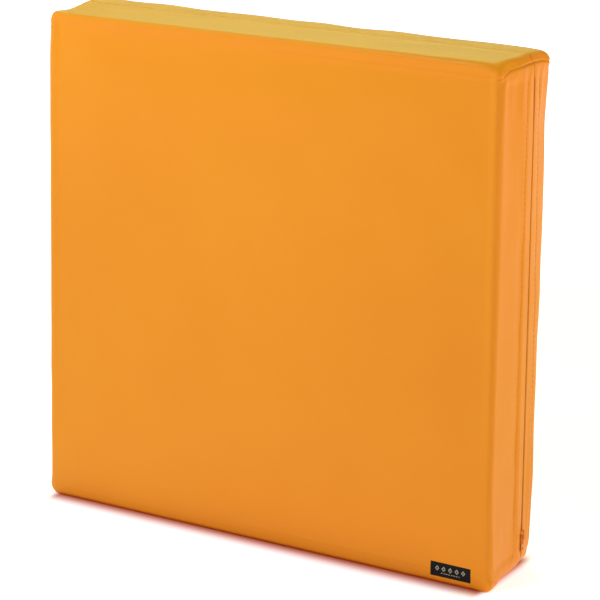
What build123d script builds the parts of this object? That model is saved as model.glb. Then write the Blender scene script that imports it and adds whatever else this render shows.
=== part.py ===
"""Square kneeling pad: a foam block in a zipped, coated-cloth cover, standing on one narrow edge.

Frame: X is the pad's width, Y its thickness with the labelled face toward -Y, Z its height.
The origin is under the middle of the pad, on the surface that it stands on. Millimetres.
"""

from build123d import *
from math import atan2, cos, degrees, radians, sin
import os

# Overall block
WIDTH = 450.0
HEIGHT = 450.0
DEPTH = 80.0
CORNER_RADIUS = 12.0
FACE_EDGE_RADIUS = 5.0

# Cover cloth, and the seam that runs round the narrow sides
CLOTH = 0.8
SEAM_Y_BOTTOM = 21.0
SEAM_Y_TOP = 9.0
ALLOWANCE = 8.0
THREAD_BEAD = 0.5
FIT_GAP = 0.2
BEAD_GAP = 0.1
CHANNEL_MARGIN = 1.0
CORNER_THREAD = 0.3
CORNER_HOLE = 0.7
CORNER_THREAD_INSET = 0.35

# Zip: heights are measured out from the pad's right-hand side, so inside is negative
ZIP_START = 15.0
ZIP_END = 435.0
SLIT = 1.8
LIP_WIDTH = 12.5
LIP_HEIGHT = -2 * CLOTH
TAPE_THICKNESS = 0.6
TAPE_EDGE = 13.0
TAPE_SHOULDER = 7.4
TAPE_STEP = 6.0
TAPE_LOW = -3.8
TAPE_BEND = 0.4
COIL_INNER = 0.6
COIL_OUTER = 3.2
COIL_TOP = -3.0
COIL_THICKNESS = 2.2
COIL_FILLET = 0.7
COIL_END_GAP = 5.0
STOP_LENGTH = 2.5
STOP_PROUD = 0.2
STOP_FILLET = 0.5
STOP_GAP = 0.5

# Hollows under the zip, in the foam and inside the cover
CLEAR_ABOVE = 5.0
END_MARGIN = 1.0
BAY_MARGIN = 0.8
BAY_LOW = -9.0
TAPE_BAY_MARGIN = 0.5
TAPE_BAY_LOW = -2.6
SLIDER_BAY_MARGIN = 0.2
SLIDER_BAY_LOW = -7.2

# Slider and its pull
TOLERANCE = 0.01
SLIDER_PLACE = 34.0
SLIDER_LENGTH = 12.0
SLIDER_HALF_WIDTH = 4.7
SLIDER_PLATE = 0.9
FLANGE_WIDTH = 1.1
PLATE_FILLET = 0.3
DIVIDER_LENGTH = 3.6
DIVIDER_PLACE = 2.0
RUNNING_GAP = 0.3
BAIL_THICKNESS = 1.2
BAIL_HALF_LENGTH = 4.2
BAIL_TOP = 3.2
BAIL_BAR = 1.1
BAIL_FILLET = 0.6
WINDOW_FILLET = 0.5
PIN_OFFSET = -1.8
PIN_HEIGHT = 1.2
PIN_RADIUS = 0.55
PIN_GAP = 0.35
PIN_INSET = 0.2
RAIL_GAP = 0.4
PULL_LENGTH = 14.0
PULL_EYE = 7.0
PULL_THICKNESS = 1.0
PULL_WIDTH = 3.8
PULL_TIP_WIDTH = 4.4
PULL_TIP_ARC = 1.5
PULL_HOLE_LENGTH = 3.2
PULL_HOLE_WIDTH = 1.4
PULL_HOLE_PLACE = 3.4
PULL_FILLET = 0.2
EYE_END = 1.0

# Topstitching, and the sewn label
STITCH_LENGTH = 3.4
STITCH_PITCH = 5.0
STITCH_WIDTH = 0.5
STITCH_HEIGHT = 0.3
STITCH_ROW = 11.0
LABEL_WIDTH = 38.0
LABEL_HEIGHT = 12.5
LABEL_THICKNESS = 0.4
LABEL_X = 188.0
LABEL_Z = 12.1
LABEL_STITCH = 2.0
LABEL_STITCH_WIDTH = 0.4
LABEL_STITCH_HEIGHT = 0.2
LABEL_STITCH_PITCH = 3.3
LABEL_STITCHES_LONG = 11
LABEL_STITCHES_SHORT = 3
LABEL_MARGIN = 1.1

# The covers meet on one flat plane, which leans so that the seam is nearer the middle at the top.
tilt = atan2(SEAM_Y_BOTTOM - SEAM_Y_TOP, HEIGHT)
along = Vector(0, -sin(tilt), cos(tilt))
toward_front = Vector(0, -cos(tilt), -sin(tilt))
outward = Vector(1, 0, 0)
parting_plane = Plane(origin=(0, SEAM_Y_BOTTOM, 0), x_dir=-outward, z_dir=-toward_front)

# On the right-hand side: local X runs up the zip, local Y toward the front, local Z outward.
side_plane = Plane(origin=(WIDTH / 2, SEAM_Y_BOTTOM, 0), x_dir=along, z_dir=outward)
front_face = Plane(origin=(0, -DEPTH / 2, 0), x_dir=outward, z_dir=(0, -1, 0))


def zip_section(place):
    """Plane across the zip at a distance up it: local X toward the front, local Y outward."""
    origin = side_plane.origin + along * place
    return Plane(origin=origin, x_dir=toward_front, z_dir=along)


def save(part, name):
    """Label a finished piece and write it as its own STEP file."""
    part.label = name
    export_step(part, f"parts/{name}.step")


def padded_block(inset):
    """The pad's outer form, moved in everywhere by the inset."""
    with BuildPart() as block:
        with BuildSketch(Plane.XZ):
            with Locations((0, HEIGHT / 2)):
                RectangleRounded(WIDTH - 2 * inset, HEIGHT - 2 * inset, CORNER_RADIUS - inset)
        extrude(amount=DEPTH / 2 - inset, both=True)
        rims = block.faces().filter_by(Axis.Y).edges()
        fillet(rims, radius=FACE_EDGE_RADIUS - inset)
    return block.part


def seam_ring(outer_inset, inner_inset, half_width):
    """A band round the narrow sides, centred on the parting plane, between two insets."""
    with BuildPart() as ring:
        with BuildSketch(parting_plane.offset(-half_width)):
            with Locations((0, HEIGHT / 2)):
                Rectangle(WIDTH + 2 * DEPTH, HEIGHT + 2 * DEPTH)
        extrude(amount=2 * half_width)
        add(padded_block(outer_inset), mode=Mode.INTERSECT)
        add(padded_block(inner_inset), mode=Mode.SUBTRACT)
    return ring.part


def zip_box(half_width, low, high, start, end):
    """A box along the zip, between two heights and two places."""
    with BuildPart() as box:
        with BuildSketch(side_plane.offset(low)):
            with Locations(((start + end) / 2, 0)):
                Rectangle(end - start, 2 * half_width)
        extrude(amount=high - low)
    return box.part


def zip_strip(outline, start, end):
    """A strip along the zip with a closed outline of (toward front, outward) points."""
    with BuildPart() as strip:
        with BuildSketch(zip_section(start)):
            with BuildLine():
                Polyline(*outline, close=True)
            make_face()
        extrude(amount=end - start)
    return strip.part


def mirrored_outline(outline, side):
    """The outline for the front half (side 1) or the back half (side -1) of the zip."""
    return [(side * across, height) for across, height in outline]


# ---- Foam core -------------------------------------------------------------------------------
bay_start = ZIP_START - END_MARGIN
bay_end = ZIP_END + END_MARGIN
zip_bay = zip_box(TAPE_EDGE + BAY_MARGIN, BAY_LOW, CLEAR_ABOVE, bay_start, bay_end)
core_inset = CLOTH + FIT_GAP
allowance_inset = 2 * CLOTH
bead_inset = allowance_inset + THREAD_BEAD
channel = seam_ring(0, bead_inset + BEAD_GAP, ALLOWANCE + CHANNEL_MARGIN)
tape_half = TAPE_EDGE + TAPE_BAY_MARGIN
tape_recess = zip_box(tape_half, TAPE_BAY_LOW, CLEAR_ABOVE, bay_start, bay_end)
slider_half = TAPE_SHOULDER + SLIDER_BAY_MARGIN
slider_recess = zip_box(slider_half, SLIDER_BAY_LOW, CLEAR_ABOVE, bay_start, bay_end)
corner_seam_radius = CORNER_RADIUS - CLOTH - CORNER_THREAD_INSET
corner_centres = [
    (x * (WIDTH / 2 - CORNER_RADIUS), HEIGHT / 2 + z * (HEIGHT / 2 - CORNER_RADIUS), x, z)
    for x in (-1, 1)
    for z in (-1, 1)
]
diagonal = sin(radians(45)) * corner_seam_radius
corner_seam_points = [(cx + x * diagonal, cz + z * diagonal) for cx, cz, x, z in corner_centres]

with BuildPart() as foam_core:
    add(padded_block(core_inset))
    add(channel, mode=Mode.SUBTRACT)
    add(tape_recess, mode=Mode.SUBTRACT)
    add(slider_recess, mode=Mode.SUBTRACT)
    with BuildSketch(Plane.XZ):
        with Locations(*corner_seam_points):
            Circle(CORNER_HOLE)
    extrude(amount=DEPTH, both=True, mode=Mode.SUBTRACT)

# ---- Front and back covers -------------------------------------------------------------------
cloth_shell = padded_block(0)
cloth_inside = padded_block(CLOTH)
allowances = seam_ring(CLOTH, allowance_inset, ALLOWANCE)
slit_opening = zip_box(SLIT / 2, BAY_LOW, CLEAR_ABOVE, ZIP_START, ZIP_END)
front_lip = [(SLIT / 2, -CLOTH), (LIP_WIDTH, -CLOTH), (LIP_WIDTH, LIP_HEIGHT), (SLIT / 2, LIP_HEIGHT)]


def cover(kept_side, side):
    """One tray of the cover: a broad face, four narrow flaps, seam allowance and a folded lip."""
    with BuildPart() as tray:
        add(cloth_shell)
        add(cloth_inside, mode=Mode.SUBTRACT)
        add(allowances)
        add(zip_bay & cloth_inside, mode=Mode.SUBTRACT)
        add(slit_opening, mode=Mode.SUBTRACT)
        split(bisect_by=parting_plane, keep=kept_side)
        add(zip_strip(mirrored_outline(front_lip, side), ZIP_START, ZIP_END))
    return tray.part


with BuildPart() as front_cover:
    add(cover(Keep.BOTTOM, 1))

with BuildPart() as back_cover:
    add(cover(Keep.TOP, -1))

# ---- Zip tapes: flat where they are sewn to the lips, stepped down to the coils ---------------
tape_top = LIP_HEIGHT
tape_outline = [
    (TAPE_EDGE, tape_top),
    (TAPE_SHOULDER, tape_top),
    (TAPE_STEP, TAPE_LOW),
    (COIL_OUTER, TAPE_LOW),
    (COIL_OUTER, TAPE_LOW - TAPE_THICKNESS),
    (TAPE_STEP + TAPE_BEND, TAPE_LOW - TAPE_THICKNESS),
    (TAPE_SHOULDER + TAPE_BEND, tape_top - TAPE_THICKNESS),
    (TAPE_EDGE, tape_top - TAPE_THICKNESS),
]

with BuildPart() as zip_tape_front:
    add(zip_strip(mirrored_outline(tape_outline, 1), ZIP_START, ZIP_END))

with BuildPart() as zip_tape_back:
    add(zip_strip(mirrored_outline(tape_outline, -1), ZIP_START, ZIP_END))

# ---- Zip coils, as bars of the coils' outer section ------------------------------------------
slider_bottom_place = SLIDER_PLACE - SLIDER_LENGTH / 2
slider_top_place = SLIDER_PLACE + SLIDER_LENGTH / 2
coil_start = slider_bottom_place - STOP_GAP
coil_end = ZIP_END - COIL_END_GAP
coil_bottom = COIL_TOP - COIL_THICKNESS
coil_middle = (COIL_INNER + COIL_OUTER) / 2
coil_height = (COIL_TOP + coil_bottom) / 2


def coil_bar(side):
    """The bar that one coil fills, with rounded upper and lower edges."""
    with BuildPart() as bar:
        with BuildSketch(zip_section(coil_start)):
            with Locations((side * coil_middle, coil_height)):
                RectangleRounded(COIL_OUTER - COIL_INNER, COIL_THICKNESS, COIL_FILLET)
        extrude(amount=coil_end - coil_start)
    return bar.part


with BuildPart() as zip_coil_front:
    add(coil_bar(1))

with BuildPart() as zip_coil_back:
    add(coil_bar(-1))

# ---- Stops: one clip on each coil below the slider, one bridging clip at the far end ----------
stop_height = COIL_THICKNESS + STOP_PROUD

with BuildPart() as zip_end_stops:
    with BuildSketch(zip_section(coil_start - STOP_LENGTH)):
        with Locations((coil_middle, coil_height), (-coil_middle, coil_height)):
            RectangleRounded(COIL_OUTER - COIL_INNER, stop_height, STOP_FILLET)
    extrude(amount=STOP_LENGTH)

with BuildPart() as zip_start_stop:
    with BuildSketch(zip_section(coil_end)):
        with Locations((0, coil_height)):
            RectangleRounded(2 * COIL_OUTER, stop_height, STOP_FILLET)
    extrude(amount=STOP_LENGTH)

# ---- Slider: two flanged plates, a divider between the coils, and a bail over the lips ---------
plate_top = LIP_HEIGHT - RUNNING_GAP
plate_bottom = plate_top - SLIDER_PLATE
upper_flange_end = TAPE_LOW + RUNNING_GAP
base_top = coil_bottom - RUNNING_GAP
base_bottom = base_top - SLIDER_PLATE
lower_flange_end = TAPE_LOW - TAPE_THICKNESS - RUNNING_GAP
flange_inner = SLIDER_HALF_WIDTH - FLANGE_WIDTH
upper_shell = [
    (-SLIDER_HALF_WIDTH, upper_flange_end),
    (-SLIDER_HALF_WIDTH, plate_top),
    (SLIDER_HALF_WIDTH, plate_top),
    (SLIDER_HALF_WIDTH, upper_flange_end),
    (flange_inner, upper_flange_end),
    (flange_inner, plate_bottom),
    (-flange_inner, plate_bottom),
    (-flange_inner, upper_flange_end),
]
lower_shell = [
    (-SLIDER_HALF_WIDTH, lower_flange_end),
    (-SLIDER_HALF_WIDTH, base_bottom),
    (SLIDER_HALF_WIDTH, base_bottom),
    (SLIDER_HALF_WIDTH, lower_flange_end),
    (flange_inner, lower_flange_end),
    (flange_inner, base_top),
    (-flange_inner, base_top),
    (-flange_inner, lower_flange_end),
]
bail_plane = Plane(
    origin=side_plane.origin + along * SLIDER_PLACE - toward_front * (BAIL_THICKNESS / 2),
    x_dir=along,
    z_dir=toward_front,
)
bail_middle = (BAIL_TOP + plate_bottom) / 2
window_low = PIN_HEIGHT - PIN_RADIUS - PIN_GAP
window_high = BAIL_TOP - BAIL_BAR
window_length = 2 * (BAIL_HALF_LENGTH - BAIL_BAR)

with BuildPart() as zip_slider:
    add(zip_strip(upper_shell, slider_bottom_place, slider_top_place))
    add(zip_strip(lower_shell, slider_bottom_place, slider_top_place))
    plates = zip_slider.edges().filter_by(Axis(origin=(0, 0, 0), direction=outward))
    full_height = plates.filter_by(lambda edge: edge.length > SLIDER_PLATE - TOLERANCE)
    fillet(full_height, radius=PLATE_FILLET)
    with BuildSketch(side_plane.offset(base_top)):
        with Locations((slider_top_place - DIVIDER_PLACE, 0)):
            SlotOverall(DIVIDER_LENGTH, 2 * (COIL_INNER - RUNNING_GAP))
    extrude(amount=plate_bottom - base_top)
    with BuildSketch(bail_plane):
        with Locations((0, -bail_middle)):
            RectangleRounded(2 * BAIL_HALF_LENGTH, BAIL_TOP - plate_bottom, BAIL_FILLET)
        with Locations((0, -(window_low + window_high) / 2)):
            RectangleRounded(window_length, window_high - window_low, WINDOW_FILLET, mode=Mode.SUBTRACT)
    extrude(amount=BAIL_THICKNESS)

# ---- Pull: a flat tab with an eye round the bail, hanging from a pin through its window --------
pin_place = SLIDER_PLACE + PIN_OFFSET
rail_inner = BAIL_THICKNESS / 2 + RAIL_GAP
pin_centre = side_plane.origin + along * pin_place + outward * PIN_HEIGHT
pin_end = pin_centre - toward_front * (PULL_WIDTH / 2 - PIN_INSET)
pin_plane = Plane(origin=pin_end, x_dir=along, z_dir=toward_front)

with BuildPart() as zip_pull:
    with BuildSketch(side_plane.offset(PIN_HEIGHT - PULL_THICKNESS / 2)):
        with BuildLine():
            shoulder = (pin_place + EYE_END, PULL_WIDTH / 2)
            flare = (pin_place - PULL_LENGTH + PULL_TIP_ARC, PULL_TIP_WIDTH / 2)
            tip = (pin_place - PULL_LENGTH, 0)
            Line(shoulder, flare)
            ThreePointArc(flare, tip, (flare[0], -flare[1]))
            Line((flare[0], -flare[1]), (shoulder[0], -shoulder[1]))
            Line((shoulder[0], -shoulder[1]), shoulder)
        make_face()
        with Locations((pin_place - PULL_EYE / 2, 0)):
            Rectangle(PULL_EYE, 2 * rail_inner, mode=Mode.SUBTRACT)
        with Locations((pin_place + EYE_END / 2, 0)):
            Rectangle(EYE_END, 2 * rail_inner, mode=Mode.SUBTRACT)
        with Locations((pin_place - PULL_LENGTH + PULL_HOLE_PLACE, 0)):
            SlotOverall(PULL_HOLE_LENGTH, PULL_HOLE_WIDTH, mode=Mode.SUBTRACT)
    extrude(amount=PULL_THICKNESS)
    with BuildSketch(pin_plane):
        Circle(PIN_RADIUS)
    extrude(amount=PULL_WIDTH - 2 * PIN_INSET)
    rims = zip_pull.faces().filter_by(Axis.X).edges().filter_by(GeomType.LINE)
    long_rims = rims.filter_by(lambda edge: edge.length > PULL_WIDTH + PULL_FILLET)
    fillet(long_rims, radius=PULL_FILLET)

# ---- Sewing ------------------------------------------------------------------------------------
with BuildPart() as cover_seam_stitching:
    add(seam_ring(allowance_inset, bead_inset, THREAD_BEAD))
    add(zip_bay, mode=Mode.SUBTRACT)


def corner_stitching(side):
    """Four thread lines inside the corner seams of one cover, clear of the seam allowance."""
    with BuildPart() as threads:
        for point in corner_seam_points:
            seam_y = SEAM_Y_BOTTOM - (SEAM_Y_BOTTOM - SEAM_Y_TOP) * point[1] / HEIGHT
            near = seam_y + side * (ALLOWANCE + CHANNEL_MARGIN)
            far = side * (DEPTH / 2 - FACE_EDGE_RADIUS)
            with BuildSketch(Plane.XZ.offset(-max(near, far))):
                with Locations(point):
                    Circle(CORNER_THREAD)
            extrude(amount=abs(far - near))
    return threads.part


with BuildPart() as front_corner_stitching:
    add(corner_stitching(-1))

with BuildPart() as back_corner_stitching:
    add(corner_stitching(1))

stitch_count = int((ZIP_END - ZIP_START - STITCH_LENGTH) // STITCH_PITCH)


def topstitching(side):
    """The row of stitches that holds one lip to its zip tape."""
    with BuildPart() as row:
        with BuildSketch(side_plane):
            with Locations(((ZIP_START + ZIP_END) / 2, side * STITCH_ROW)):
                with GridLocations(STITCH_PITCH, 0, stitch_count, 1):
                    SlotOverall(STITCH_LENGTH, STITCH_WIDTH)
        extrude(amount=STITCH_HEIGHT)
    return row.part


with BuildPart() as zip_front_stitching:
    add(topstitching(1))

with BuildPart() as zip_back_stitching:
    add(topstitching(-1))

# ---- Label -------------------------------------------------------------------------------------
with BuildPart() as label:
    with BuildSketch(front_face):
        with Locations((LABEL_X, LABEL_Z)):
            Rectangle(LABEL_WIDTH, LABEL_HEIGHT)
    extrude(amount=LABEL_THICKNESS)

with BuildPart() as label_stitching:
    with BuildSketch(front_face.offset(LABEL_THICKNESS)):
        for row in (-1, 1):
            edge_z = LABEL_Z + row * (LABEL_HEIGHT / 2 - LABEL_MARGIN)
            with Locations((LABEL_X, edge_z)):
                with GridLocations(LABEL_STITCH_PITCH, 0, LABEL_STITCHES_LONG, 1):
                    SlotOverall(LABEL_STITCH, LABEL_STITCH_WIDTH)
        for row in (-1, 1):
            edge_x = LABEL_X + row * (LABEL_WIDTH / 2 - LABEL_MARGIN)
            with Locations((edge_x, LABEL_Z)):
                with GridLocations(0, LABEL_STITCH_PITCH, 1, LABEL_STITCHES_SHORT):
                    SlotOverall(LABEL_STITCH, LABEL_STITCH_WIDTH, rotation=90)
    extrude(amount=LABEL_STITCH_HEIGHT)

# ---- Files -------------------------------------------------------------------------------------
os.makedirs("parts", exist_ok=True)
save(foam_core.part, "foam_core")
save(front_cover.part, "front_cover")
save(back_cover.part, "back_cover")
save(zip_tape_front.part, "zip_tape_front")
save(zip_tape_back.part, "zip_tape_back")
save(zip_coil_front.part, "zip_coil_front")
save(zip_coil_back.part, "zip_coil_back")
save(zip_end_stops.part, "zip_end_stops")
save(zip_start_stop.part, "zip_start_stop")
save(zip_slider.part, "zip_slider")
save(zip_pull.part, "zip_pull")
save(cover_seam_stitching.part, "cover_seam_stitching")
save(front_corner_stitching.part, "front_corner_stitching")
save(back_corner_stitching.part, "back_corner_stitching")
save(zip_front_stitching.part, "zip_front_stitching")
save(zip_back_stitching.part, "zip_back_stitching")
save(label.part, "label")
save(label_stitching.part, "label_stitching")

slide_range = coil_end - slider_top_place - STOP_GAP
print("tilt", round(degrees(tilt), 3), "zip axis", along, "toward front", toward_front)
print("pull hinge", pin_centre, "slide range", slide_range)
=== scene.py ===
"""Square kneeling pad: a foam block in a zipped, coated-cloth cover, standing on one narrow edge.

Shapes are worked out in millimetres, in the frame's axes, and scaled to metres as meshes are made.
"""

from math import cos, pi, radians, sin

import bmesh
import bpy
import numpy as np
from mathutils import Matrix, Vector
from mathutils.kdtree import KDTree


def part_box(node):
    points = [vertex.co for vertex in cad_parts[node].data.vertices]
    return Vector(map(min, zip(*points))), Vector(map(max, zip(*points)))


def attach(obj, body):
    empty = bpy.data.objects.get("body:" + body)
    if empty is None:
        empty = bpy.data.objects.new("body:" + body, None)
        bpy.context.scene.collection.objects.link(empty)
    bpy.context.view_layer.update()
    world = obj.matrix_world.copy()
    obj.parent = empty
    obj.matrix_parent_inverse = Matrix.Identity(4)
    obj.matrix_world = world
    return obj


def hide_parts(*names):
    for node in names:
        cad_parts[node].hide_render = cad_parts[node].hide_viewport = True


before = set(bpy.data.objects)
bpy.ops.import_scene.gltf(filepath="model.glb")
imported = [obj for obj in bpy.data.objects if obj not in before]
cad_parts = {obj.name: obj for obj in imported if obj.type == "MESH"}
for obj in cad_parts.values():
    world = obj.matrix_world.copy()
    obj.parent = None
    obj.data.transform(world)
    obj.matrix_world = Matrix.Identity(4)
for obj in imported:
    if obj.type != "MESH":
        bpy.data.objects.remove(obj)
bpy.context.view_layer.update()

MM = 0.001


# ---- Sizes read from the frame ---------------------------
def node_box(node):
    """Lowest and highest corner of a CAD node, in millimetres."""
    low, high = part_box(node)
    return np.array(low) / MM, np.array(high) / MM


_, front_high = node_box("front_cover")
back_low, back_high = node_box("back_cover")
tape_low, tape_high = node_box("zip_tape_front")
coil_low, coil_high = node_box("zip_coil_front")
label_low, label_high = node_box("label")

HALF_X = front_high[0]
HALF_Y = back_high[1]
TOP = front_high[2]
SEAM_Y_LOW = front_high[1]
SEAM_Y_TOP = back_low[1]
ZIP_START = tape_low[2]
ZIP_END = tape_high[2]
CORNER = 12.0
EDGE = 5.0
SOFT_EDGE = 7.5
CRISP_FOOT = 2.0
CRISP_TOP = 1.8
CLOTH = 0.8

# Sewn edges of the cover
CORNER_SEAM = radians(28)
FRONT_DIP = 6.0
BACK_DIP = 2.0
ALLOWANCE = 8.0
SLIT_HALF = 0.72
SLIT_FOLD = 1.5
SLIT_LINING = 0.05
LIP_END = 12.0
SEAM_GAP = 0.05
SEAM_FOLD = 1.0
SEAM_DEPTHS = (1.6, 2.1, 2.6)

# Heights of the cover's relief, out from the plain block
CROWN = 1.4
HEM_DEPTH = 0.9
HEM_EXTRA = 0.8
FACE_WAVE = 0.35
ALLOWANCE_STEP = 0.4
SEAM_CRINKLE = 0.22
SIDE_WAVE = 0.5
LIP_RISE = 1.5
LIP_CREST = 0.3
BACK_FALL = 0.8
ROW_DENT = 0.35
GROOVE = 0.62
GROOVE_WAVE = 0.2
RIDGE = 0.22
SHOULDER = 1.0
PUCKER = 0.2
BELOW_FALL = 0.25
KNUCKLE = 0.9
PINCH = 0.5
SLIT_LIMITS = (-0.05, 0.3)

# Zip's lips: the sewn row's distance from the slit, and the front lip's shape at three heights
ROW_LOW = 15.0
ROW_TOP = 11.0
LIP_Z = (0, 300, 450)
LIP_FOOT = (17, 18, 28)
LIP_CLIMB = (9, 8, 17)
HOLLOW_START = (10, 10, 24)

# Grid spacing over the cover, and over the inflated blank
FINE = 1.4
COARSE = 4.0
BLANK = 10
BLANK_SIDE = 9


# ---- Small helpers ---------------------------------------
def smooth(value, low, high):
    """0 below low, 1 above high, and an eased step between."""
    t = np.clip((value - low) / (high - low), 0, 1)
    return t * t * (3 - 2 * t)


def bump(value, centre, width):
    """A rounded hump of height 1."""
    return np.exp(-(((value - centre) / width) ** 2))


def ripple(a, b, length, seed):
    """Gentle uneven waves over two coordinates, between about -1 and 1."""
    rng = np.random.default_rng(seed)
    total = 0
    for _ in range(6):
        turn = rng.uniform(0, 2 * pi)
        wave = length * rng.uniform(0.7, 1.5)
        phase = rng.uniform(0, 2 * pi)
        total = total + np.sin(2 * pi * (a * cos(turn) + b * sin(turn)) / wave + phase)
    return total / 3.2


def grid_lines(start, *runs):
    """Rising positions from start; each run is (end, step), with its steps evened out."""
    places = [start]
    for end, step in runs:
        first = places[-1]
        count = max(1, round((end - first) / step))
        places += [first + (end - first) * (k + 1) / count for k in range(count)]
    return np.array(places)


def link_mesh(name, points, faces):
    """A smooth-shaded mesh object from points in millimetres."""
    mesh = bpy.data.meshes.new(name)
    mesh.from_pydata((np.asarray(points, float) * MM).tolist(), [], [list(f) for f in faces])
    mesh.polygons.foreach_set("use_smooth", [True] * len(mesh.polygons))
    mesh.validate()
    mesh.update()
    piece = bpy.data.objects.new(name, mesh)
    bpy.context.scene.collection.objects.link(piece)
    return piece


# ---- The plain block, and the cover's relief on it -------
def outline_distance(x, z):
    """Distance outside the pad's outline as seen from the front; negative inside."""
    qx = np.abs(x) - (HALF_X - CORNER)
    qz = np.abs(z - TOP / 2) - (TOP / 2 - CORNER)
    outside = np.hypot(np.maximum(qx, 0), np.maximum(qz, 0))
    return np.where(outside > 0, outside, np.maximum(qx, qz)) - CORNER


def edge_radius(x, y, z):
    """Radius of the face's edge: crisp at the front's foot and top, fuller up the zipped side."""
    front = smooth(-y, 0, 20)
    crisp = CRISP_FOOT * (1 - smooth(z, 6, 16)) + CRISP_TOP * smooth(z, TOP - 14, TOP - 6)
    fuller = (SOFT_EDGE - EDGE) * smooth(x, 90, HALF_X - 8) * smooth(z, 120, 420)
    return EDGE + front * (fuller - crisp)


def nearest(points):
    """Nearest points on the plain block, and the outward normals there."""
    x, y, z = points.T
    edge = edge_radius(x, y, z)
    qx = np.abs(x) - (HALF_X - CORNER)
    qz = np.abs(z - TOP / 2) - (TOP / 2 - CORNER)
    out_x, out_z = np.maximum(qx, 0), np.maximum(qz, 0)
    reach = np.hypot(out_x, out_z)
    both = (qx > 0) & (qz > 0)
    safe = np.where(reach > 0, reach, 1)
    grad_x = np.where(both, out_x / safe, (qx >= qz) * 1.0) * np.sign(x)
    grad_z = np.where(both, out_z / safe, (qx < qz) * 1.0) * np.sign(z - TOP / 2)
    wide = np.where(reach > 0, reach, np.maximum(qx, qz)) - CORNER + edge
    deep = np.abs(y) - (HALF_Y - edge)
    length = np.hypot(np.maximum(wide, 0), np.maximum(deep, 0))
    rounded = (wide > 0) & (deep > 0)
    safe = np.where(length > 0, length, 1)
    share_wide = np.where(rounded, np.maximum(wide, 0) / safe, (wide >= deep) * 1.0)
    share_deep = np.where(rounded, np.maximum(deep, 0) / safe, (wide < deep) * 1.0)
    distance = np.where(length > 0, length, np.maximum(wide, deep)) - edge
    normals = np.stack([grad_x * share_wide, np.sign(y) * share_deep, grad_z * share_wide], 1)
    return points - distance[:, None] * normals, normals


def corner_dip(y):
    """How far a corner seam dips from its even line toward the broad faces."""
    return FRONT_DIP * bump(y, -HALF_Y - 1, 11) + BACK_DIP * bump(y, HALF_Y, 10)


def corner_distance(x, y, z):
    """Distance along the outline from the nearest corner seam; positive toward top or bottom."""
    qx = np.abs(x) - (HALF_X - CORNER)
    qz = np.abs(z - TOP / 2) - (TOP / 2 - CORNER)
    angle = np.arctan2(np.maximum(qz, 1e-6), np.maximum(qx, 1e-6))
    along_arc = CORNER * (angle - CORNER_SEAM)
    on_side = qz - CORNER * CORNER_SEAM
    on_end = CORNER * (pi / 2 - CORNER_SEAM) - qx
    return corner_dip(y) + np.where(qz <= 0, on_side, np.where(qx <= 0, on_end, along_arc))


def seam_y(x, z):
    """Where the seam between the covers runs round the narrow sides."""
    plain = SEAM_Y_LOW + (SEAM_Y_TOP - SEAM_Y_LOW) * z / TOP
    right = smooth(x, HALF_X - 6, HALF_X - 1)
    wander = 0.5 * ripple(x, z, 90, 3) + 0.25 * ripple(x, z, 31, 4)
    top = smooth(z, TOP - 6, TOP - 1)
    return plain + (1 - right) * (wander + 3.4 * top)


def row_distance(z):
    """Distance of the zip's sewn rows from the slit."""
    return ROW_LOW + (ROW_TOP - ROW_LOW) * z / TOP


def zip_share(normals, z):
    """1 along the zip on the right-hand side, 0 elsewhere."""
    right = smooth(normals[:, 0], 0.8, 0.98)
    above_start = smooth(z, ZIP_START - 1, ZIP_START + 6)
    return right * above_start * (1 - smooth(z, ZIP_END - 6, ZIP_END + 1))


# Shift of each corner that the whole block follows, by its place in x, y and z
CORNER_SHIFTS = {
    (0, 0, 0): (-1.6, -0.8, 0.0),
    (0, 0, 1): (1.0, 0.7, -2.2),
    (0, 1, 1): (0.0, 0.2, 1.0),
    (1, 0, 0): (1.3, 0.0, 0.0),
    (1, 0, 1): (-0.5, -0.3, 0.0),
    (1, 1, 1): (-0.8, -0.2, 1.0),
}
# Pulls that fade out round a spot near one corner: the spot, how wide, and how far, in x, y and z
CORNER_PULLS = (
    ((HALF_X, HALF_Y, 0), (13, 22, 17), (-4.0, 0, 3.2)),
    ((HALF_X, HALF_Y, TOP), (13, 16, 11), (0.2, 0, -2.0)),
    ((3.5 - HALF_X, -HALF_Y, TOP - 3.5), (6.5, 17, 6.5), (0.2, 0, 2.8)),
    ((3.5 - HALF_X, -HALF_Y, 3.5), (6.5, 20, 6.5), (-0.1, 0, -1.4)),
    ((HALF_X, -HALF_Y, TOP), (15, 13, 13), (-1.4, 0.8, -2.2)),
)
# The top's left-hand end: how wide the tucked part is, and how far it goes in, down and up
TUCK_WIDTH = 22
TUCK_IN = 1.9
TUCK_DOWN = 0.7
TUCK_UP = 1.0
# The front's lower right-hand corner is pulled out and down along its whole front part
TOE_PULL = 3.0
# How far the right-hand side leans in at the front, and bows at the back, by height
FRONT_SIDE_Z = (0, 30, 80, 250, 380, 440, 450)
FRONT_SIDE_X = (0.0, 0.9, 2.2, 3.0, 4.0, 4.6, 4.8)
EDGE_BOW_Z = (0, 60, 110, 200, 285, 330, 390, 425, 450)
EDGE_BOW_X = (0.8, 1.3, 0.9, 0.3, 0.6, 0.0, -1.2, 0.7, 1.4)


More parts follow.
